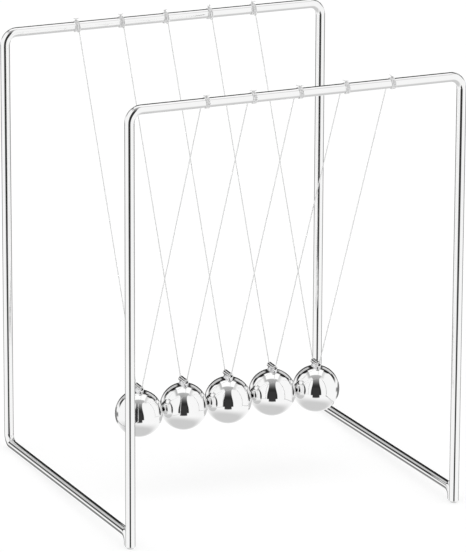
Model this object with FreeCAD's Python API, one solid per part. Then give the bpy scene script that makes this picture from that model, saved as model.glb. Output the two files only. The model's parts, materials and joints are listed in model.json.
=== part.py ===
import FreeCAD, Part
import math
import os

# A Newton's cradle: two bent rod hoops, joined at floor level by side rails, and
# five steel balls that hang in a row, each on a V of clear line between the hoops.
# Millimetres. +X runs along the row of balls, +Y to the back, +Z up.
# The origin is on the floor, under the middle of the frame.

V = FreeCAD.Vector

# ---- the frame ----
FRAME_WIDTH = 141.3       # over the outside of the legs
FRAME_DEPTH = 134.9       # over the outside of the two hoops
FRAME_HEIGHT = 175.1      # floor to the top of the top rods
ROD_D = 3.8               # polished round rod
TOP_BEND_R = 4.8          # centre-line radius of the hoops' top corners
FOOT_BEND_R = 4.0         # centre-line radius where a back leg turns into a rail
TOE_BEND_R = 3.0          # centre-line radius where a rail's end turns down
RAIL_RISE = 3.5           # how much higher a rail's front end is than its back end
TOE_OVERLAP = 2.4         # how far the turned-down end is pressed into the front leg
TOE_CLEARANCE = 0.3       # floor to the turned-down end
FOOT_ROUNDING = 1.0       # rounded edge of a leg's cut end
WELD_GAP = 0.01           # between the front leg and the rail end pressed on it
WELD_R = 1.35             # weld bead in the corner above a rail's end
WELD_BACK = 0.61          # bead's centre behind the leg
WELD_UP = 0.14            # bead's centre over the rail

# ---- the pendulums ----
BALL_COUNT = 5
BALL_D = 19.0
BALL_GAP = 0.2            # free play between neighbours in the row
BALL_HEIGHT = 31.2        # floor to the mean ball centre
BALL_LIFT = (-0.6, -0.1, 0.1, 0.9, 0.1)   # each ball's height over the mean
TUBE_OD = 2.3             # tube on top of a ball
TUBE_ID = 1.1
TUBE_LENGTH = 5.8
TUBE_LIFT = 0.08          # solder under the tube
SADDLE_LENGTH = 4.6       # solder saddle, along the tube
SADDLE_WIDTH = 2.7        # solder saddle, across the tube
SADDLE_FOOT = 0.8         # share of a ball's radius from which the saddle is built up

# ---- the lines and their ties ----
LINE_D = 0.4
LINE_BEND_R = 0.9         # the line's bend at a tube's mouth
TIE_TURNS = 4             # turns round the rod
TIE_PITCH = 0.43          # one turn to the next
TIE_GAP = 0.01            # between a turn and the rod
TIE_CLIMB = 0.25          # share of a turn in which the last one climbs over the others
TAIL_DROP = 0.3           # pivot's height below the top rods' centre line
PIVOT_GAP = 0.08          # between a tie's tail and the line that hangs from it
KNOT_R = 0.42
TAG_LENGTHS = (1.7, 1.3)  # the two short ends left at a knot
TAG_D = 0.34
TAG_TURNS = (200, 350)    # degrees, which way each tag points
TAG_STEP = 23             # degrees, how much that differs from one tie to the next
TAG_WAY = (0.7, 0.5, 0.4) # a tag's spread along and across the rod, and its rise

# ---- derived from the sizes above ----
ROD_R = ROD_D / 2
HALF_X = (FRAME_WIDTH - ROD_D) / 2
FRONT_Y = -(FRAME_DEPTH - ROD_D) / 2
BACK_Y = (FRAME_DEPTH - ROD_D) / 2
TOP_Z = FRAME_HEIGHT - ROD_R
TOE_Y = FRONT_Y + ROD_D - TOE_OVERLAP
RAIL_SLOPE = math.atan2(RAIL_RISE, BACK_Y - FRONT_Y)
# the back bend's lowest point touches the floor
RAIL_BACK_Z = ROD_R - FOOT_BEND_R * (math.tan(RAIL_SLOPE) + 1 / math.cos(RAIL_SLOPE) - 1)
RAIL_FRONT_Z = RAIL_BACK_Z + (BACK_Y - TOE_Y) * math.tan(RAIL_SLOPE)
BALL_R = BALL_D / 2
BALL_PITCH = BALL_D + BALL_GAP
TUBE_RISE = BALL_R + TUBE_LIFT + TUBE_OD / 2
PIVOT_Z = TOP_Z - TAIL_DROP
LINE_R = LINE_D / 2
COIL_R = ROD_R + TIE_GAP + LINE_R
OVER_R = COIL_R + LINE_D + TIE_GAP
COIL_SPAN = TIE_TURNS * TIE_PITCH


def ball_x(i):
    return (i - (BALL_COUNT - 1) / 2) * BALL_PITCH


def rounded_path(points, radii):
    """A wire of straight runs through the points, with an arc of the given radius at each inner point."""
    edges = []
    start = points[0]
    for k in range(1, len(points) - 1):
        a = points[k - 1] - points[k]
        b = points[k + 1] - points[k]
        a.normalize()
        b.normalize()
        half = a.getAngle(b) / 2
        run = radii[k - 1] / math.tan(half)
        middle = a + b
        middle.normalize()
        centre = points[k] + middle * (radii[k - 1] / math.sin(half))
        first = points[k] + a * run
        last = points[k] + b * run
        edges.append(Part.makeLine(start, first))
        edges.append(Part.Arc(first, centre - middle * radii[k - 1], last).toShape())
        start = last
    edges.append(Part.makeLine(start, points[-1]))
    return Part.Wire(edges)


def pipe(path, radius):
    """A round bar along a wire that starts straight."""
    first = path.Edges[0]
    at = first.valueAt(first.FirstParameter)
    along = first.tangentAt(first.FirstParameter)
    ring = Part.Wire(Part.makeCircle(radius, at, along))
    return path.makePipeShell([ring], True, False)


def rounded_end(solid, z, amount):
    """The solid with the edge of its flat end at height z rounded."""
    edges = [
        e for e in solid.Edges
        if abs(e.BoundBox.ZMin - z) < 1e-4 and abs(e.BoundBox.ZMax - z) < 1e-4
    ]
    return solid.makeFillet(amount, edges)


def front_hoop():
    points = [
        V(-HALF_X, FRONT_Y, 0),
        V(-HALF_X, FRONT_Y, TOP_Z),
        V(HALF_X, FRONT_Y, TOP_Z),
        V(HALF_X, FRONT_Y, 0),
    ]
    hoop = pipe(rounded_path(points, [TOP_BEND_R, TOP_BEND_R]), ROD_R)
    return rounded_end(hoop, 0, FOOT_ROUNDING)


def back_hoop():
    left = [
        V(-HALF_X, TOE_Y, TOE_CLEARANCE),
        V(-HALF_X, TOE_Y, RAIL_FRONT_Z),
        V(-HALF_X, BACK_Y, RAIL_BACK_Z),
        V(-HALF_X, BACK_Y, TOP_Z),
    ]
    right = [V(-p.x, p.y, p.z) for p in reversed(left)]
    radii = [TOE_BEND_R, FOOT_BEND_R, TOP_BEND_R, TOP_BEND_R, FOOT_BEND_R, TOE_BEND_R]
    hoop = pipe(rounded_path(left + right, radii), ROD_R)
    hoop = rounded_end(hoop, TOE_CLEARANCE, FOOT_ROUNDING)
    for side in (-1, 1):
        leg = Part.makeCylinder(ROD_R + WELD_GAP, RAIL_FRONT_Z + ROD_D, V(side * HALF_X, FRONT_Y, 0))
        hoop = hoop.cut(leg)
    return hoop


def weld(side, hoops):
    middle = V(side * HALF_X, FRONT_Y + ROD_R + WELD_BACK, RAIL_FRONT_Z + ROD_R + WELD_UP)
    bead = Part.makeSphere(WELD_R, middle)
    for hoop in hoops:
        bead = bead.cut(hoop)
    return bead


def ball_centre(i):
    return V(ball_x(i), 0, BALL_HEIGHT + BALL_LIFT[i])


def tube_centre(i):
    return ball_centre(i) + V(0, 0, TUBE_RISE)


def tube(i):
    start = tube_centre(i) - V(0, TUBE_LENGTH / 2, 0)
    outside = Part.makeCylinder(TUBE_OD / 2, TUBE_LENGTH, start, V(0, 1, 0))
    bore = Part.makeCylinder(TUBE_ID / 2, TUBE_LENGTH, start, V(0, 1, 0))
    solid = outside.cut(bore)
    lip = (TUBE_OD - TUBE_ID) / 8
    rims = [e for e in solid.Edges if e.Curve.TypeId == "Part::GeomCircle"]
    return solid.makeFillet(lip, rims)


def saddle(i):
    foot = ball_centre(i) + V(0, 0, SADDLE_FOOT * BALL_R)
    oval = Part.Ellipse(V(0, 0, 0), SADDLE_LENGTH / 2, SADDLE_WIDTH / 2)
    face = Part.Face(Part.Wire(oval.toShape()))
    face.rotate(V(0, 0, 0), V(0, 0, 1), 90)
    face.translate(foot)
    block = face.extrude(V(0, 0, tube_centre(i).z - foot.z))
    round_tube = Part.makeCylinder(
        TUBE_OD / 2, 2 * TUBE_LENGTH, tube_centre(i) - V(0, TUBE_LENGTH, 0), V(0, 1, 0)
    )
    return block.cut(Part.makeSphere(BALL_R, ball_centre(i))).cut(round_tube)


def tangent_run(i, side, radius):
    """Where the straight line from a tube's mouth touches a circle round a top rod, and its direction
    from there down to the mouth. side is -1 for the front rod and 1 for the back rod."""
    mouth = tube_centre(i) + V(0, side * TUBE_LENGTH / 2, 0)
    rod = V(mouth.x, side * BACK_Y, TOP_Z)
    reach = rod - mouth
    length = reach.Length
    lean = math.atan2(reach.z, abs(reach.y)) + math.asin(radius / length)
    run = math.sqrt(length ** 2 - radius ** 2)
    way = V(0, side * math.cos(lean), math.sin(lean))
    return mouth + way * run, way * -1


def pivot_point(i, side):
    touch, down = tangent_run(i, side, COIL_R if side < 0 else OVER_R)
    return touch + down * ((touch.z - PIVOT_Z) / -down.z), down


def hanging_line(i):
    front, front_down = pivot_point(i, -1)
    back, back_down = pivot_point(i, 1)
    mouth = V(0, TUBE_LENGTH / 2, 0)
    points = [
        front + front_down * PIVOT_GAP,
        tube_centre(i) - mouth,
        tube_centre(i) + mouth,
        back + back_down * PIVOT_GAP,
    ]
    return pipe(rounded_path(points, [LINE_BEND_R, LINE_BEND_R]), LINE_R)


def coil_start(i, side):
    """Where the first turn begins along the rod: the turns run back to the line at the front, and
    past it and over themselves at the back."""
    if side < 0:
        return ball_x(i) + COIL_SPAN
    return ball_x(i) - COIL_SPAN / 2


def coil_path(i, side):
    """The line's turns round the rod and the tail that leaves them for the line."""
    radius = COIL_R if side < 0 else OVER_R
    touch, down = tangent_run(i, side, radius)
    leave = math.atan2(touch.z - TOP_Z, (BACK_Y * side - touch.y) * side)
    steps = 24
    under = TIE_TURNS * steps
    over = 0 if side < 0 else steps
    points = []
    for k in range(under + over + 1):
        turn = leave + 2 * math.pi * (under + over - k) / steps
        x = coil_start(i, side) + side * TIE_PITCH * k / steps
        lift = 0
        if k > under:
            share = (k - under) / steps
            climb = min(1, share / TIE_CLIMB)
            back = max(0, share - TIE_CLIMB) / (1 - TIE_CLIMB)
            ease = (1 - math.cos(math.pi * back)) / 2
            lift = (OVER_R - COIL_R) * (1 - math.cos(math.pi * climb)) / 2
            x = x * (1 - ease) + ball_x(i) * ease
        across = (COIL_R + lift) * math.cos(turn)
        points.append(V(x, side * (BACK_Y - across), TOP_Z + (COIL_R + lift) * math.sin(turn)))
    curve = Part.BSplineCurve()
    curve.interpolate(points)
    tail = Part.makeLine(touch, pivot_point(i, side)[0])
    return Part.Wire([curve.toShape(), tail])


def knot(i, side):
    """The knot on top of the turns, with its two short tag ends."""
    top = COIL_R if side < 0 else OVER_R
    x = ball_x(i) + (COIL_SPAN / 2 if side < 0 else 0)
    middle = V(x, side * BACK_Y, TOP_Z + top + LINE_R + TIE_GAP + KNOT_R)
    solid = Part.makeSphere(KNOT_R, middle)
    along, across, rise = TAG_WAY
    for length, turn in zip(TAG_LENGTHS, TAG_TURNS):
        swing = math.radians(turn + TAG_STEP * i * side)
        way = V(math.cos(swing) * along, math.sin(swing) * across, rise)
        solid = solid.fuse(Part.makeCylinder(TAG_D / 2, length, middle, way))
    return solid


def tie(i, side):
    return Part.makeCompound([pipe(coil_path(i, side), LINE_R), knot(i, side)])


def save(name, shape):
    shape.exportStep("parts/" + name + ".step")


os.makedirs("parts", exist_ok=True)
front = front_hoop()
back = back_hoop()
save("front_hoop", front)
save("back_hoop_with_rails", back)
save("left_weld", weld(-1, [front, back]))
save("right_weld", weld(1, [front, back]))
for i in range(BALL_COUNT):
    number = str(i + 1)
    save("ball_" + number, Part.makeSphere(BALL_R, ball_centre(i)))
    save("ball_tube_" + number, tube(i))
    save("solder_saddle_" + number, saddle(i))
    save("hanging_line_" + number, hanging_line(i))
    save("front_tie_" + number, tie(i, -1))
    save("back_tie_" + number, tie(i, 1))
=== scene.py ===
import json
import math

import bpy
from mathutils import Matrix, Vector, noise


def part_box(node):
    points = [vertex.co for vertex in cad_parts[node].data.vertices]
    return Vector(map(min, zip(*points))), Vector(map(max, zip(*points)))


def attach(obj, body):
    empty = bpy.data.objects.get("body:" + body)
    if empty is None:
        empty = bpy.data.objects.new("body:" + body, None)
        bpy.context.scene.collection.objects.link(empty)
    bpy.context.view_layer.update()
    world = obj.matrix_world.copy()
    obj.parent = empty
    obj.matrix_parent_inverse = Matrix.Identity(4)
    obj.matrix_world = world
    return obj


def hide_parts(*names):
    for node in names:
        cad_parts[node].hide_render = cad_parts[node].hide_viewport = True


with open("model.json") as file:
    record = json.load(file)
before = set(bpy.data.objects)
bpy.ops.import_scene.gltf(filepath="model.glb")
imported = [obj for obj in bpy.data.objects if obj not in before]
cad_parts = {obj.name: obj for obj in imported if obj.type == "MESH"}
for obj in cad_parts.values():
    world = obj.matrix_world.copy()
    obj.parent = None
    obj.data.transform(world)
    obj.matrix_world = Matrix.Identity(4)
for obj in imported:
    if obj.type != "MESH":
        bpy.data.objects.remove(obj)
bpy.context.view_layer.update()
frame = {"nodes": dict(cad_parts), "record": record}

MM = 0.001
BALLS = 5

# ---- camera: long lens, from the front left, a little above ----
AZIMUTH = math.radians(-23.42)
ELEVATION = math.radians(16.75)
DISTANCE = 1.8374
AIM = Vector((0.00195, 0.0, 0.0826))
ROLL = math.radians(0.244)
SENSOR = 36.0
LENS = 302.7
FARTHEST = 100.0

# the camera's own directions, which the studio round the object is laid out by
TOWARD = Vector((
    math.sin(AZIMUTH) * math.cos(ELEVATION),
    -math.cos(AZIMUTH) * math.cos(ELEVATION),
    math.sin(ELEVATION),
))
RIGHT = Vector((math.cos(AZIMUTH), math.sin(AZIMUTH), 0.0))
UP = TOWARD.cross(RIGHT)

# ---- the line and its ties, the same as in the CAD model ----
LINE_R = 0.2 * MM
TIE_TURNS = 4
TIE_PITCH = 0.43 * MM
TIE_GAP = 0.01 * MM
TIE_CLIMB = 0.25
PIVOT_GAP = 0.08 * MM
TAG_TURNS = (200, 350)
TAG_STEP = 23
TAG_WAY = (0.7, 0.5, 0.4)

# ---- read from the frame ----
front_low, front_high = (Vector(corner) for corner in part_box("front_hoop"))
ROD_R = (front_high.y - front_low.y) / 2
FRONT_Y = (front_high.y + front_low.y) / 2
TOP_Z = front_high.z - ROD_R
PIVOT_Z = next(j["pos_m"][2] for j in frame["record"]["behaviour"]["joints"])
COIL_R = ROD_R + TIE_GAP + LINE_R
OVER_R = COIL_R + 2 * LINE_R + TIE_GAP
COIL_SPAN = TIE_TURNS * TIE_PITCH

# ---- the shapes that Blender adds or makes finer ----
MOUTH_BEND = 2.2 * MM
KNOT_SIZE = 0.13 * MM
KNOT_LIFT = 0.2 * MM
KNOT_DEPTH = 1.3
TAG_R = 0.15 * MM
TAG_DROOP = 0.25
TAG_LENGTHS = (1.7 * MM, 1.3 * MM)
COIL_STEPS = 32
COIL_AROUND = 10
TAIL_STEPS = 3
KNOT_STEPS = 48
KNOT_AROUND = 8
TAG_STEPS = 6
DOME = [(0.95, 0.35), (0.75, 0.68), (0.4, 0.92)]
CURVE_SIDES = 4
CURVE_STEPS = 16

BORE_R = 0.55 * MM
BORE_SWELL = 0.02 * MM
BORE_SHELL = 0.1 * MM
TUBE_WAIST = 0.05 * MM
WAIST_PLACES = (0.72, 0.3, -0.3, -0.72)
LIP_STEPS = 8
LIP_ROUND = 0.6
TUBE_AROUND = 48

SOLDER_AROUND = 48
SOLDER_LEVELS = 12
SOLDER_NECK = 1.02
SOLDER_SPREAD = 0.34
SOLDER_CURVE = 2.5
SOLDER_LUMP = 0.07
SOLDER_LUMP_SIZE = 1.7
SOLDER_LUMP_STEP = 3
SOLDER_SINK = 0.05 * MM
SOLDER_TOP = 0.25 * MM
SOLDER_REACH = 0.3 * MM
SOLDER_BITE = 0.15 * MM
TINY = 0.01 * MM

WELD_AROUND = 32
WELD_ROWS = 16
WELD_SIZE = 0.93
WELD_LUMP = 0.13
WELD_LUMP_SIZE = 2.2
WELD_LUMP_SHIFT = 400

# ---- paper and lamp ----
FLOOR_REACH = 4.0
PAPER = (0.4, 0.4, 0.4, 1)
PAPER_ROUGH = 0.9
PAPER_SHINE = 0.1
PAPER_GLOW = 0.66
SUN_POWER = 0.6
SUN_ANGLE = math.radians(120)

# ---- the studio that the metal mirrors ----
# An edge is where one tone gives way to the next, as (from, to). Directions says what is measured:
# sides, halves and asides are sines of the angle to the side, and the rest are degrees. Tones are
# shares of the white wall's.
TABLE_LEAN = 7.0
TABLE_EDGE = (-60.0, -27.0)
TABLE_TONES = (0.64, 1.0)

CEILING_START = (50.0, 62.0)
CEILING_SIDES = (0.46, 0.62)
CEILING_MIDDLE = (-0.15, 0.15)
CEILING_TONES = (0.52, 0.72)

GAP_NARROWS = (-20.0, 40.0)
GAP_HALVES = (0.42, 0.25)
GAP_WIDENS = (46.0, 66.0)
GAP_EXTRA = (0.0, 0.12)
GAP_ASIDE = 0.012
GAP_EDGE = (-0.02, 0.02)
GAP_BOTTOM = (-37.0, -33.0)
GAP_TOP = (66.0, 74.0)
GAP_FADE = (10.0, 68.0)
GAP_TONES = (0.03, 0.48)

FOOT_SIDES = (0.25, 0.3)
FOOT_BOTTOM = (-51.0, -44.0)
FOOT_TOP = (0.0, 4.0)
FOOT_TONE = 0.04

SEAM_CORNER = (34.0, 46.0)
SEAM_STARTS = (99.0, 109.0)
SEAM_EDGE = (0.0, 6.0)
SEAM_END = (129.0, 135.0)
SEAM_RISE = (2.0, 14.0)
SEAM_TONE = 0.015
STRIPE_START = (121.5, 124.5)
STRIPE_SIDES = (46.0, 51.0)
STRIPE_TONE = 0.62

OPENING_SIDES = (0.38, 0.43)
OPENING_START = (67.0, 72.0)
OPENING_END = (106.0, 116.0)
OPENING_TONE = 1.1

BACK_SIDES = (15.0, 23.0)
BACK_START = (113.0, 120.0)
BACK_TONE = 0.02
FAR_START = (143.0, 149.0)
FAR_SIDES = (50.0, 85.0)

FLANK_START = (112.0, 124.0)
FLANK_BEND = (130.0, 142.0)
FLANK_FIRST = (89.0, 78.0)
FLANK_LAST = (99.0, 116.0)
FLANK_EDGE_IN = (-3.0, 3.0)
FLANK_EDGE_OUT = (-3.0, 5.0)
FLANK_TONE = 0.2

# ---- marks in the surfaces: SMEARS, SCRATCHES, RIPPLES and DRAW_MARKS are cells per metre ----
SMEARS = 140.0
SMEAR_DETAIL = 4.0
SMEAR_EDGE = (0.4, 0.8)
SCRATCHES = 1500.0
SCRATCH_DETAIL = 3.0
SCRATCH_STRETCH = (1.0, 1.0, 9.0)
SCRATCH_SHARE = 0.05
RIPPLES = 260.0
RIPPLE_DEPTH = 0.000004
PATCH_DETAIL = 5.0
PATCH_COLOUR_EDGE = (0.35, 0.65)
PATCH_GLOSS_EDGE = (0.3, 0.7)
GRAIN_DETAIL = 3.0
DRAW_MARKS = 2500.0
DRAW_DETAIL = 3.0
DRAW_EDGE = (0.3, 0.7)
NYLON_ROUGH = (0.08, 0.25)
NYLON_IOR = 1.53


def middle(node):
    """The centre of a CAD node's box."""
    low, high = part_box(node)
    return (Vector(low) + Vector(high)) / 2


def make_camera():
    data = bpy.data.cameras.new("camera")
    data.lens = LENS
    data.sensor_width = SENSOR
    data.clip_end = FARTHEST
    camera = bpy.data.objects.new("camera", data)
    bpy.context.scene.collection.objects.link(camera)
    camera.location = AIM + TOWARD * DISTANCE
    level = (-TOWARD).to_track_quat("-Z", "Y").to_matrix()
    camera.rotation_euler = (level @ Matrix.Rotation(ROLL, 3, "Z")).to_euler()
    bpy.context.scene.camera = camera


class Nodes:
    """Short calls for building a node tree."""

    def __init__(self, tree):
        self.tree = tree

    def add(self, kind, **settings):
        node = self.tree.nodes.new(kind)
        for key, value in settings.items():
            setattr(node, key, value)
        return node

    def put(self, socket, value):
        if isinstance(value, bpy.types.NodeSocket):
            self.tree.links.new(value, socket)
        else:
            socket.default_value = value

    def math(self, operation, a, b=0.0):
        node = self.add("ShaderNodeMath", operation=operation)
        self.put(node.inputs[0], a)
        self.put(node.inputs[1], b)
        return node.outputs[0]

    def times(self, *values):
        product = values[0]
        for value in values[1:]:
            product = self.math("MULTIPLY", product, value)
        return product

    def degrees(self, angle):
        return self.math("DEGREES", angle)

    def dot(self, a, b):
        node = self.add("ShaderNodeVectorMath", operation="DOT_PRODUCT")
        self.put(node.inputs[0], a)
        self.put(node.inputs[1], b)
        return node.outputs["Value"]

    def ramp(self, value, edge, ends=(0.0, 1.0)):
        """value across the edge turned smoothly from the first of the ends into the second."""
        node = self.add("ShaderNodeMapRange", interpolation_type="SMOOTHSTEP")
        for socket, given in zip(node.inputs, (value, *edge, *ends)):
            self.put(socket, given)
        return node.outputs[0]

    def until(self, value, edge):
        """1 before the edge and 0 past it."""
        return self.ramp(value, edge, (1.0, 0.0))

    def mix(self, share, a, b):
        """One number, a where share is 0 and b where it is 1."""
        node = self.add("ShaderNodeMix", data_type="FLOAT")
        self.put(node.inputs[0], share)
        self.put(node.inputs[2], a)
        self.put(node.inputs[3], b)
        return node.outputs[0]

    def noise(self, place, scale, detail=2.0):
        node = self.add("ShaderNodeTexNoise")
        self.put(node.inputs["Vector"], place)
        self.put(node.inputs["Scale"], scale)
        self.put(node.inputs["Detail"], detail)
        return node.outputs["Fac"]

    def stretched(self, place, scale):
        node = self.add("ShaderNodeMapping")
        self.put(node.inputs["Vector"], place)
        self.put(node.inputs["Scale"], scale)
        return node.outputs["Vector"]

    def bump(self, height, distance, strength=1.0):
        node = self.add("ShaderNodeBump")
        self.put(node.inputs["Strength"], strength)
        self.put(node.inputs["Distance"], distance)
        self.put(node.inputs["Height"], height)
        return node.outputs["Normal"]

    def tint(self, share, dark, light):
        node = self.add("ShaderNodeValToRGB")
        node.color_ramp.elements[0].color = dark
        node.color_ramp.elements[1].color = light
        self.put(node.inputs["Fac"], share)
        return node.outputs["Color"]


class Directions:
    """Where a direction from the object lies, measured from TOWARD, the direction to the camera."""

    def __init__(self, n):
        way = n.add("ShaderNodeTexCoord").outputs["Generated"]
        self.across = n.dot(way, RIGHT)
        above = n.dot(way, UP)
        near = n.dot(way, TOWARD)
        # sine of the angle to the side, left or right
        self.wide = n.math("ABSOLUTE", self.across)
        # angle above the horizon
        self.rise = n.degrees(n.math("ARCSINE", n.dot(way, (0, 0, 1))))
        # angle up from the camera in its own upright plane
        self.tilt = n.degrees(n.math("ARCTAN2", above, near))
        # angle away from the camera, and angle round it from straight up
        self.off = n.degrees(n.math("ARCCOSINE", near))
        self.swing = n.math("ABSOLUTE", n.degrees(n.math("ARCTAN2", self.across, above)))


def table_and_ceiling(n, d):
    """The pale table, white walls, and the grey ceiling over the camera, darker on the left."""
    lean = n.math("ADD", d.rise, n.times(d.across, TABLE_LEAN))
    level = n.ramp(lean, TABLE_EDGE, TABLE_TONES)
    ceiling = n.times(n.ramp(d.tilt, CEILING_START), n.until(d.wide, CEILING_SIDES))
    return n.mix(ceiling, level, n.ramp(d.across, CEILING_MIDDLE, CEILING_TONES))


def dark_gap(n, d, level):
    """The gap that the camera looks through, fading out towards the ceiling, and its foot."""
    narrowing = n.ramp(d.tilt, GAP_NARROWS, GAP_HALVES)
    half = n.math("ADD", narrowing, n.ramp(d.tilt, GAP_WIDENS, GAP_EXTRA))
    aside = n.math("ABSOLUTE", n.math("SUBTRACT", d.across, GAP_ASIDE))
    inside = n.until(n.math("SUBTRACT", aside, half), GAP_EDGE)
    gap = n.times(inside, n.ramp(d.tilt, GAP_BOTTOM), n.until(d.tilt, GAP_TOP))
    level = n.mix(gap, level, n.ramp(d.tilt, GAP_FADE, GAP_TONES))
    foot = n.times(
        n.until(aside, FOOT_SIDES), n.ramp(d.tilt, FOOT_BOTTOM), n.until(d.tilt, FOOT_TOP)
    )
    return n.mix(foot, level, FOOT_TONE)


def seam_and_opening(n, d, level):
    """The seam between the ceiling and the back of the tent, with a lit stripe in it, and the
    bright opening overhead."""
    start = n.ramp(d.swing, SEAM_CORNER, SEAM_STARTS)
    begun = n.ramp(n.math("SUBTRACT", d.off, start), SEAM_EDGE)
    seam = n.times(begun, n.until(d.off, SEAM_END), n.ramp(d.rise, SEAM_RISE))
    stripe = n.times(n.ramp(d.off, STRIPE_START), n.until(d.swing, STRIPE_SIDES))
    level = n.mix(seam, level, n.mix(stripe, SEAM_TONE, STRIPE_TONE))
    opening = n.times(
        n.until(d.wide, OPENING_SIDES), n.ramp(d.tilt, OPENING_START), n.until(d.tilt, OPENING_END)
    )
    return n.mix(opening, level, OPENING_TONE)


def behind_the_object(n, d, level):
    """Dark straight behind the object and at the table's far edge, and a darker flank each side."""
    back = n.times(n.until(d.swing, BACK_SIDES), n.ramp(d.off, BACK_START))
    level = n.mix(back, level, BACK_TONE)
    far = n.times(n.ramp(d.off, FAR_START), n.until(d.swing, FAR_SIDES))
    level = n.mix(far, level, BACK_TONE)
    first = n.math("SUBTRACT", d.swing, n.ramp(d.off, FLANK_BEND, FLANK_FIRST))
    last = n.math("SUBTRACT", d.swing, n.ramp(d.off, FLANK_BEND, FLANK_LAST))
    flank = n.times(
        n.ramp(d.off, FLANK_START), n.ramp(first, FLANK_EDGE_IN), n.until(last, FLANK_EDGE_OUT)
    )
    return n.mix(flank, level, FLANK_TONE)


def make_world():
    """A white photographer's tent, laid out once round the object from the photo's reflections."""
    world = bpy.data.worlds.new("studio")
    bpy.context.scene.world = world
    world.use_nodes = True
    world.node_tree.nodes.clear()
    n = Nodes(world.node_tree)
    d = Directions(n)
    level = table_and_ceiling(n, d)
    level = dark_gap(n, d, level)
    level = seam_and_opening(n, d, level)
    level = behind_the_object(n, d, level)
    # what shows behind the object is plain white
    seen = n.add("ShaderNodeLightPath").outputs["Is Camera Ray"]
    level = n.mix(seen, level, 1.0)

    background = n.add("ShaderNodeBackground")
    n.put(background.inputs["Color"], level)
    n.put(n.add("ShaderNodeOutputWorld").inputs["Surface"], background.outputs[0])


def make_floor():
    reach = FLOOR_REACH
    corners = [(-reach, -reach, 0), (reach, -reach, 0), (reach, reach, 0), (-reach, reach, 0)]
    mesh = bpy.data.meshes.new("floor")
    mesh.from_pydata(corners, [], [(0, 1, 2, 3)])
    floor = bpy.data.objects.new("floor", mesh)
    bpy.context.scene.collection.objects.link(floor)
    material, n, shader = new_material("studio_paper")
    shader.inputs["Base Color"].default_value = PAPER
    shader.inputs["Roughness"].default_value = PAPER_ROUGH
    shader.inputs["Specular IOR Level"].default_value = PAPER_SHINE
    shader.inputs["Emission Color"].default_value = (1, 1, 1, 1)
    shader.inputs["Emission Strength"].default_value = PAPER_GLOW
    mesh.materials.append(material)
    floor.visible_glossy = False


def make_light():
    data = bpy.data.lights.new("soft_sun", "SUN")
    data.energy = SUN_POWER
    data.angle = SUN_ANGLE
    light = bpy.data.objects.new("soft_sun", data)
    bpy.context.scene.collection.objects.link(light)
    light.visible_glossy = False


# ---- materials ----

def new_material(name):
    material = bpy.data.materials.new(name)
    material.use_nodes = True
    n = Nodes(material.node_tree)
    return material, n, material.node_tree.nodes["Principled BSDF"]


def grey(tone):
    return (tone, tone, tone, 1)


def polished(name, dark, light, smooth, smeared, ripple):
    """Bright plated metal: handling smears in the gloss and a faint ripple in the surface."""
    material, n, shader = new_material(name)
    place = n.add("ShaderNodeTexCoord").outputs["Object"]
    smears = n.noise(place, SMEARS, SMEAR_DETAIL)
    scratches = n.noise(n.stretched(place, SCRATCH_STRETCH), SCRATCHES, SCRATCH_DETAIL)
    n.put(shader.inputs["Base Color"], n.tint(smears, grey(dark), grey(light)))
    n.put(shader.inputs["Roughness"], n.ramp(smears, SMEAR_EDGE, (smooth, smeared)))
    ripples = n.times(n.noise(place, RIPPLES), ripple)
    height = n.math("ADD", ripples, n.times(scratches, SCRATCH_SHARE))
    n.put(shader.inputs["Normal"], n.bump(height, RIPPLE_DEPTH))
    shader.inputs["Metallic"].default_value = 1.0
    return material


def rough_metal(name, dark, light, smooth, rough, grain, depth):
    """Solder or weld metal: cast-looking, in patches duller and darker."""
    material, n, shader = new_material(name)
    place = n.add("ShaderNodeTexCoord").outputs["Object"]
    patches = n.noise(place, grain, PATCH_DETAIL)
    n.put(shader.inputs["Base Color"], n.tint(n.ramp(patches, PATCH_COLOUR_EDGE), dark, light))
    n.put(shader.inputs["Roughness"], n.ramp(patches, PATCH_GLOSS_EDGE, (rough, smooth)))
    n.put(shader.inputs["Normal"], n.bump(n.noise(place, grain * 2, GRAIN_DETAIL), depth))
    shader.inputs["Metallic"].default_value = 1.0
    return material


def nylon(name, dark, light, clear):
    """Clear monofilament, faintly milky, with draw marks along it."""
    material, n, shader = new_material(name)
    place = n.add("ShaderNodeTexCoord").outputs["Object"]
    marks = n.noise(place, DRAW_MARKS, DRAW_DETAIL)
    n.put(shader.inputs["Base Color"], n.tint(marks, grey(dark), grey(light)))
    n.put(shader.inputs["Roughness"], n.ramp(marks, DRAW_EDGE, NYLON_ROUGH))
    shader.inputs["Transmission Weight"].default_value = clear
    shader.inputs["IOR"].default_value = NYLON_IOR
    return material


# ---- mesh helpers ----

def new_piece(name, verts, faces, material, body, nodes):
    mesh = bpy.data.meshes.new(name)
    mesh.from_pydata([tuple(v) for v in verts], [], faces)
    mesh.validate()
    mesh.shade_smooth()
    mesh.materials.append(material)
    piece = bpy.data.objects.new(name, mesh)
    bpy.context.scene.collection.objects.link(piece)
    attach(piece, body)
    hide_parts(*nodes)
    return piece


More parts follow.
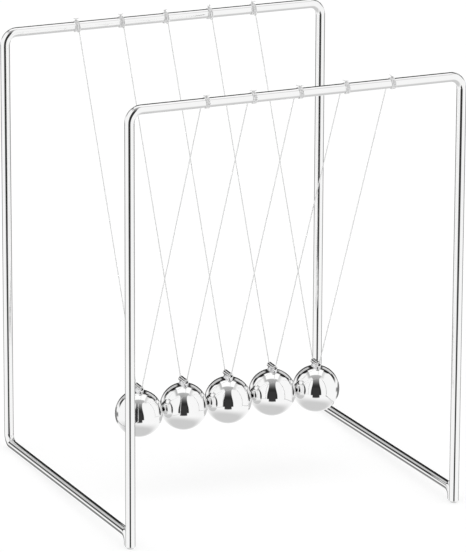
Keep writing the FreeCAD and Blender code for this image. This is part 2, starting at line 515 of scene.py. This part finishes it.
def strand(points, radius, around, closed=False):
    """Verts and faces of a round strand along the points; an open one has domed ends."""
    count = len(points)
    ways = []
    for k in range(count):
        before = points[k - 1] if k or closed else points[0]
        after = points[(k + 1) % count] if k < count - 1 or closed else points[-1]
        ways.append((after - before).normalized())
    side = ways[0].orthogonal().normalized()
    sides = []
    for way in ways:
        side = (side - way * side.dot(way)).normalized()
        sides.append(side)
    twist = 0.0
    if closed:
        last = (sides[-1] - ways[0] * sides[-1].dot(ways[0])).normalized()
        twist = math.atan2(sides[0].cross(last).dot(ways[0]), sides[0].dot(last))
    rings = []
    for k in range(count):
        rings.append((points[k], radius, k))
    if not closed:
        first = []
        end = []
        for share, out in DOME:
            first.insert(0, (points[0] - ways[0] * radius * out, radius * share, 0))
            end.append((points[-1] + ways[-1] * radius * out, radius * share, count - 1))
        rings = first + rings + end
    verts = []
    for at, size, k in rings:
        across = ways[k].cross(sides[k])
        for s in range(around):
            turn = 2 * math.pi * s / around - twist * k / count
            verts.append(at + (sides[k] * math.cos(turn) + across * math.sin(turn)) * size)
    faces = []
    total = len(rings)
    for r in range(total if closed else total - 1):
        for s in range(around):
            t = (s + 1) % around
            u = (r + 1) % total
            faces.append((r * around + s, r * around + t, u * around + t, u * around + s))
    if not closed:
        faces.append(tuple(reversed(range(around))))
        faces.append(tuple((total - 1) * around + s for s in range(around)))
    return verts, faces


def lathe(profile, centre, around):
    """Verts and faces of a closed ring shape: the profile's (radius, y) points turned about Y."""
    verts = []
    for s in range(around):
        turn = 2 * math.pi * s / around
        for radius, y in profile:
            verts.append(centre + Vector((radius * math.cos(turn), y, radius * math.sin(turn))))
    count = len(profile)
    faces = []
    for s in range(around):
        for k in range(count):
            a = s * count + k
            b = s * count + (k + 1) % count
            c = (s + 1) % around * count + (k + 1) % count
            d = (s + 1) % around * count + k
            faces.append((a, b, c, d))
    return verts, faces


def joined(parts):
    verts = []
    faces = []
    for some_verts, some_faces in parts:
        shift = len(verts)
        verts += some_verts
        faces += [tuple(v + shift for v in face) for face in some_faces]
    return verts, faces


# ---- the hanging lines and their ties ----

def tangent_run(i, side, radius):
    """Where the straight line from a tube's mouth touches a circle round a top rod, and its direction
    from there down to the mouth. side is -1 for the front rod and 1 for the back rod."""
    low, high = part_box(f"ball_tube_{i}")
    centre = middle(f"ball_tube_{i}")
    mouth = Vector((centre.x, centre.y + side * (high[1] - low[1]) / 2, centre.z))
    reach = Vector((mouth.x, -side * FRONT_Y, TOP_Z)) - mouth
    lean = math.atan2(reach.z, abs(reach.y)) + math.asin(radius / reach.length)
    run = math.sqrt(reach.length ** 2 - radius ** 2)
    way = Vector((0, side * math.cos(lean), math.sin(lean)))
    return mouth + way * run, -way, mouth


def pivot_point(i, side):
    """Where the line meets its tie and the pendulum's axis, its direction down and its mouth."""
    touch, down, mouth = tangent_run(i, side, COIL_R if side < 0 else OVER_R)
    return touch + down * ((touch.z - PIVOT_Z) / -down.z), down, mouth


def make_line(i, material):
    """One clear line from its front tie through its tube to its back tie."""
    front, front_down, front_mouth = pivot_point(i, -1)
    back, back_down, back_mouth = pivot_point(i, 1)
    inward = Vector((0, MOUTH_BEND, 0))
    route = [
        front + front_down * PIVOT_GAP,
        front_mouth - front_down * MOUTH_BEND,
        front_mouth,
        front_mouth + inward,
        back_mouth - inward,
        back_mouth,
        back_mouth - back_down * MOUTH_BEND,
        back + back_down * PIVOT_GAP,
    ]
    curve = bpy.data.curves.new(f"line_{i}", "CURVE")
    curve.dimensions = "3D"
    curve.bevel_depth = LINE_R
    curve.bevel_resolution = CURVE_SIDES
    curve.use_fill_caps = True
    spline = curve.splines.new("NURBS")
    spline.points.add(len(route) - 1)
    for point, at in zip(spline.points, route):
        point.co = (*at, 1.0)
    spline.order_u = 3
    spline.use_endpoint_u = True
    spline.resolution_u = CURVE_STEPS
    curve.materials.append(material)
    piece = bpy.data.objects.new(f"line_{i}", curve)
    bpy.context.scene.collection.objects.link(piece)
    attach(piece, f"pendulum_{i}")
    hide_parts(f"hanging_line_{i}")


def coil_points(i, side):
    """The line's turns round the rod, and the tail that leaves them for the line."""
    centre = middle(f"ball_tube_{i}")
    touch = tangent_run(i, side, COIL_R if side < 0 else OVER_R)[0]
    leave = math.atan2(touch.z - TOP_Z, (-FRONT_Y * side - touch.y) * side)
    under = TIE_TURNS * COIL_STEPS
    over = 0 if side < 0 else COIL_STEPS
    start = centre.x + (COIL_SPAN if side < 0 else -COIL_SPAN / 2)
    points = []
    for k in range(under + over + 1):
        turn = leave + 2 * math.pi * (under + over - k) / COIL_STEPS
        x = start + side * TIE_PITCH * k / COIL_STEPS
        lift = 0
        if k > under:
            share = (k - under) / COIL_STEPS
            climb = min(1, share / TIE_CLIMB)
            back = max(0, share - TIE_CLIMB) / (1 - TIE_CLIMB)
            ease = (1 - math.cos(math.pi * back)) / 2
            lift = (OVER_R - COIL_R) * (1 - math.cos(math.pi * climb)) / 2
            x = x * (1 - ease) + centre.x * ease
        reach = COIL_R + lift
        points.append(Vector((
            x,
            side * (-FRONT_Y - reach * math.cos(turn)),
            TOP_Z + reach * math.sin(turn),
        )))
    end = pivot_point(i, side)[0]
    tail = [points[-1].lerp(end, step / TAIL_STEPS) for step in range(1, TAIL_STEPS + 1)]
    return points + tail


def knot_parts(i, side):
    """A small overhand knot on top of the turns and its two cut tag ends."""
    lift = COIL_R if side < 0 else OVER_R
    x = middle(f"ball_tube_{i}").x + (COIL_SPAN / 2 if side < 0 else 0)
    centre = Vector((x, -side * FRONT_Y, TOP_Z + lift + LINE_R + KNOT_LIFT))
    loop = []
    for k in range(KNOT_STEPS):
        t = 2 * math.pi * k / KNOT_STEPS
        loop.append(centre + KNOT_SIZE * Vector((
            math.sin(t) + 2 * math.sin(2 * t),
            math.cos(t) - 2 * math.cos(2 * t),
            -KNOT_DEPTH * math.sin(3 * t),
        )))
    parts = [strand(loop, TAG_R, KNOT_AROUND, closed=True)]
    along, across, rise = TAG_WAY
    for length, turn in zip(TAG_LENGTHS, TAG_TURNS):
        swing = math.radians(turn + TAG_STEP * (i - 1) * side)
        way = Vector((math.cos(swing) * along, math.sin(swing) * across, rise)).normalized()
        curl = Vector((0, 0, -TAG_DROOP * length))
        tag = []
        for step in range(TAG_STEPS + 1):
            droop = curl * (step / TAG_STEPS) ** 2
            tag.append(centre + way * length * step / TAG_STEPS + droop)
        parts.append(strand(tag, TAG_R, KNOT_AROUND))
    return parts


def make_tie(i, side, material):
    """The wound end, knot and tags on one rod, in one piece."""
    name = "front" if side < 0 else "back"
    parts = [strand(coil_points(i, side), LINE_R, COIL_AROUND)] + knot_parts(i, side)
    verts, faces = joined(parts)
    new_piece(f"{name}_winding_{i}", verts, faces, material, "frame", [f"{name}_tie_{i}"])


# ---- the fittings on the balls ----

def make_tube(i, material, bore):
    """The short tube on a ball: cut ends rounded over, the wall between them a little thinner."""
    low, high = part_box(f"ball_tube_{i}")
    half = (high[1] - low[1]) / 2
    outer = (high[0] - low[0]) / 2
    lip = outer - BORE_R
    mid = (outer + BORE_R) / 2
    profile = []
    for end in (-1, 1):
        for step in range(LIP_STEPS + 1):
            turn = math.pi * step / LIP_STEPS
            if end > 0:
                turn = math.pi - turn
            radius = mid + lip / 2 * math.cos(turn)
            y = end * (half - lip / 2 * (1 - math.sin(turn)) * LIP_ROUND)
            profile.append((radius, y))
        wall = BORE_R + BORE_SWELL if end < 0 else outer - TUBE_WAIST
        for share in WAIST_PLACES:
            profile.append((wall, end * half * share))
    centre = middle(f"ball_tube_{i}")
    verts, faces = lathe(profile, centre, TUBE_AROUND)
    piece = new_piece(
        f"tube_{i}", verts, faces, material, f"pendulum_{i}", [f"ball_tube_{i}"]
    )
    # faces within the bore get the second material, the near-black painted shade
    piece.data.materials.append(bore)
    for face in piece.data.polygons:
        out = face.center - centre
        if math.hypot(out.x, out.z) < BORE_R + BORE_SHELL:
            face.material_index = 1


def make_solder(i, material):
    """The fillet of solder that runs out on the ball and up both sides of the tube."""
    low, high = (Vector(corner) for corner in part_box(f"solder_saddle_{i}"))
    ball_low, ball_high = (Vector(corner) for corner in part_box(f"ball_{i}"))
    ball = (ball_low + ball_high) / 2
    ball_r = (ball_high.z - ball_low.z) / 2
    tube = middle(f"ball_tube_{i}")
    tube_low, tube_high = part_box(f"ball_tube_{i}")
    wall = (tube_high[0] - tube_low[0]) / 2 - SOLDER_BITE
    half_x = (high.x - low.x) / 2
    half_y = (high.y - low.y) / 2
    verts = []
    for level in range(SOLDER_LEVELS + 1):
        up = level / SOLDER_LEVELS
        spread = SOLDER_NECK + SOLDER_SPREAD * (1 - up) ** SOLDER_CURVE
        for s in range(SOLDER_AROUND):
            turn = 2 * math.pi * s / SOLDER_AROUND
            place = Vector((math.cos(turn), math.sin(turn), up + SOLDER_LUMP_STEP * i))
            wobble = 1 + SOLDER_LUMP * noise.noise(place * SOLDER_LUMP_SIZE)
            x = half_x * math.cos(turn) * spread * wobble
            y = half_y * math.sin(turn) * spread * wobble
            foot = math.sqrt(ball_r ** 2 - x * x - y * y) + ball.z - SOLDER_SINK
            z = foot * (1 - up) + (tube.z + SOLDER_TOP) * up
            gap = Vector((x, 0, z - tube.z))
            if gap.length < wall and z < tube.z + SOLDER_REACH:
                gap = gap.normalized() * wall if gap.length > TINY else Vector((0, 0, -wall))
            verts.append(Vector((tube.x + gap.x, ball.y + y, tube.z + gap.z)))
    faces = []
    for level in range(SOLDER_LEVELS):
        row = level * SOLDER_AROUND
        above = row + SOLDER_AROUND
        for s in range(SOLDER_AROUND):
            t = (s + 1) % SOLDER_AROUND
            faces.append((row + s, row + t, above + t, above + s))
    faces.append(tuple(reversed(range(SOLDER_AROUND))))
    under = len(verts)
    verts.append(Vector((tube.x, ball.y, tube.z - wall)))
    top = SOLDER_LEVELS * SOLDER_AROUND
    for s in range(SOLDER_AROUND):
        faces.append((top + s, top + (s + 1) % SOLDER_AROUND, under))
    new_piece(
        f"solder_fillet_{i}", verts, faces, material, f"pendulum_{i}", [f"solder_saddle_{i}"]
    )


def make_weld(name, material):
    """A lumpy bead of weld in the corner between a rail's end and the front leg."""
    low, high = (Vector(corner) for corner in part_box(name))
    centre = (low + high) / 2
    half = (high - low) / 2
    verts = [centre + Vector((0, 0, half.z))]
    for r in range(1, WELD_ROWS):
        polar = math.pi * r / WELD_ROWS
        for s in range(WELD_AROUND):
            turn = 2 * math.pi * s / WELD_AROUND
            ring = math.sin(polar)
            way = Vector((ring * math.cos(turn), ring * math.sin(turn), math.cos(polar)))
            lump = WELD_SIZE + WELD_LUMP * noise.noise(way * WELD_LUMP_SIZE + centre * WELD_LUMP_SHIFT)
            reach = Vector((way.x * half.x, way.y * half.y, way.z * half.z))
            verts.append(centre + reach * lump)
    verts.append(centre - Vector((0, 0, half.z)))
    faces = [(0, 1 + s, 1 + (s + 1) % WELD_AROUND) for s in range(WELD_AROUND)]
    for r in range(WELD_ROWS - 2):
        row = 1 + r * WELD_AROUND
        below = row + WELD_AROUND
        for s in range(WELD_AROUND):
            t = (s + 1) % WELD_AROUND
            faces.append((row + s, below + s, below + t, row + t))
    last = len(verts) - 1
    row = 1 + (WELD_ROWS - 2) * WELD_AROUND
    faces += [(row + s, last, row + (s + 1) % WELD_AROUND) for s in range(WELD_AROUND)]
    new_piece(f"{name}_bead", verts, faces, material, "frame", [name])


def paint(node, material):
    """A CAD node that is shown as it is gets its material here."""
    for slot in frame["nodes"][node].material_slots:
        slot.material = material


bpy.context.scene.view_settings.view_transform = "Standard"
make_camera()
clear_line = nylon("taut_nylon", dark=0.87, light=0.94, clear=0.45)
wound_line = nylon("wound_nylon", dark=0.96, light=0.99, clear=0.2)
for number in range(1, BALLS + 1):
    make_line(number, clear_line)
make_world()
make_floor()
make_light()

rod_chrome = polished(
    "rod_chrome", dark=0.90, light=0.94, smooth=0.015, smeared=0.05, ripple=1.0
)
ball_chrome = polished(
    "ball_chrome", dark=0.91, light=0.95, smooth=0.012, smeared=0.06, ripple=0.5
)
tube_chrome = polished(
    "tube_chrome", dark=0.86, light=0.92, smooth=0.03, smeared=0.09, ripple=1.5
)
solder = rough_metal(
    "solder", dark=(0.55, 0.55, 0.56, 1), light=(0.82, 0.82, 0.83, 1),
    smooth=0.12, rough=0.3, grain=900.0, depth=0.00003,
)
weld = rough_metal(
    "plated_weld", dark=(0.7, 0.7, 0.71, 1), light=(0.9, 0.9, 0.91, 1),
    smooth=0.06, rough=0.16, grain=700.0, depth=0.00004,
)
# painted shade: the tube's bore is given a near-black metal to stand for the shade inside it, not a
# colour the metal has
painted_shade_bore = rough_metal(
    "painted_shade_bore", dark=(0.03, 0.03, 0.03, 1), light=(0.1, 0.1, 0.1, 1),
    smooth=0.3, rough=0.6, grain=900.0, depth=0.00003,
)

paint("front_hoop", rod_chrome)
paint("back_hoop_with_rails", rod_chrome)
make_weld("left_weld", weld)
make_weld("right_weld", weld)
for number in range(1, BALLS + 1):
    paint(f"ball_{number}", ball_chrome)
    make_tube(number, tube_chrome, painted_shade_bore)
    make_solder(number, solder)
    make_tie(number, -1, wound_line)
    make_tie(number, 1, wound_line)
